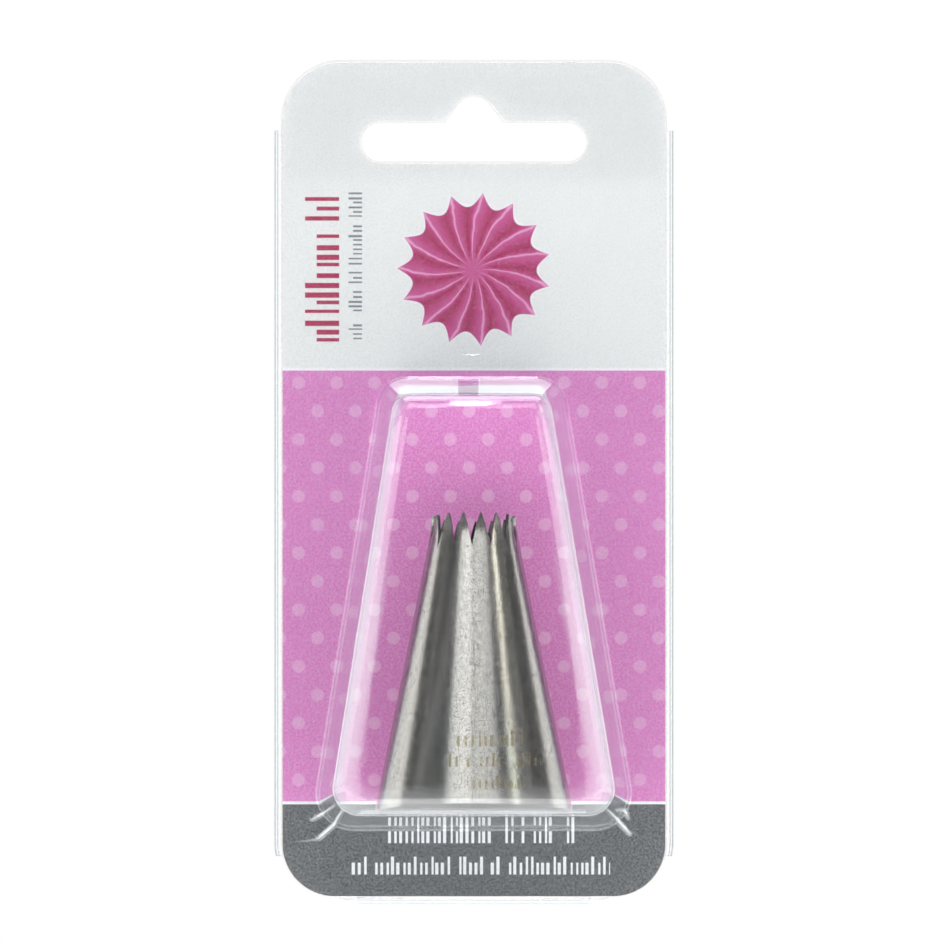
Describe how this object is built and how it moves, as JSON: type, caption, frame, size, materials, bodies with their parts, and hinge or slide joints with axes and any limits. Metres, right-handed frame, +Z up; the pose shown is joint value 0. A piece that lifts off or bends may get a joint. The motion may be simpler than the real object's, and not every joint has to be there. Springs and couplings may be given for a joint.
{
  "type": "star piping nozzle in a slide blister pack",
  "caption": "Fine-toothed steel star piping nozzle standing loose in the dome of a clear slide blister over a printed hanging card.",
  "frame": {"origin": "top of the hanging slot's hump, on the centre line, at mid thickness of the card", "axes": "+Z up as the pack hangs, -Y out of the printed front and the dome, +X to the right seen from the front"},
  "size_m": [0.056, 0.032, 0.1184],
  "materials": {
    "clear_shell": "clear glossy thermoformed sheet",
    "printed_card": "printed, lightly coated",
    "stainless_steel": "satin, tumbled, fine scratches"
  },
  "bodies": {
    "shell": {"blister_shell": "clear_shell"},
    "card": {"backing_card": "printed_card"},
    "nozzle": {"star_nozzle": "stainless_steel"}
  },
  "joints": [
    {"name": "card_slide", "type": "slide", "parent": "shell", "child": "card", "axis": [0, 0, 1], "range_m": [0, 0.1075]},
    {"name": "nozzle_lift", "type": "slide", "parent": "shell", "child": "nozzle", "axis": [0, 0, 1], "range_m": [0, 0.0165]}
  ]
}
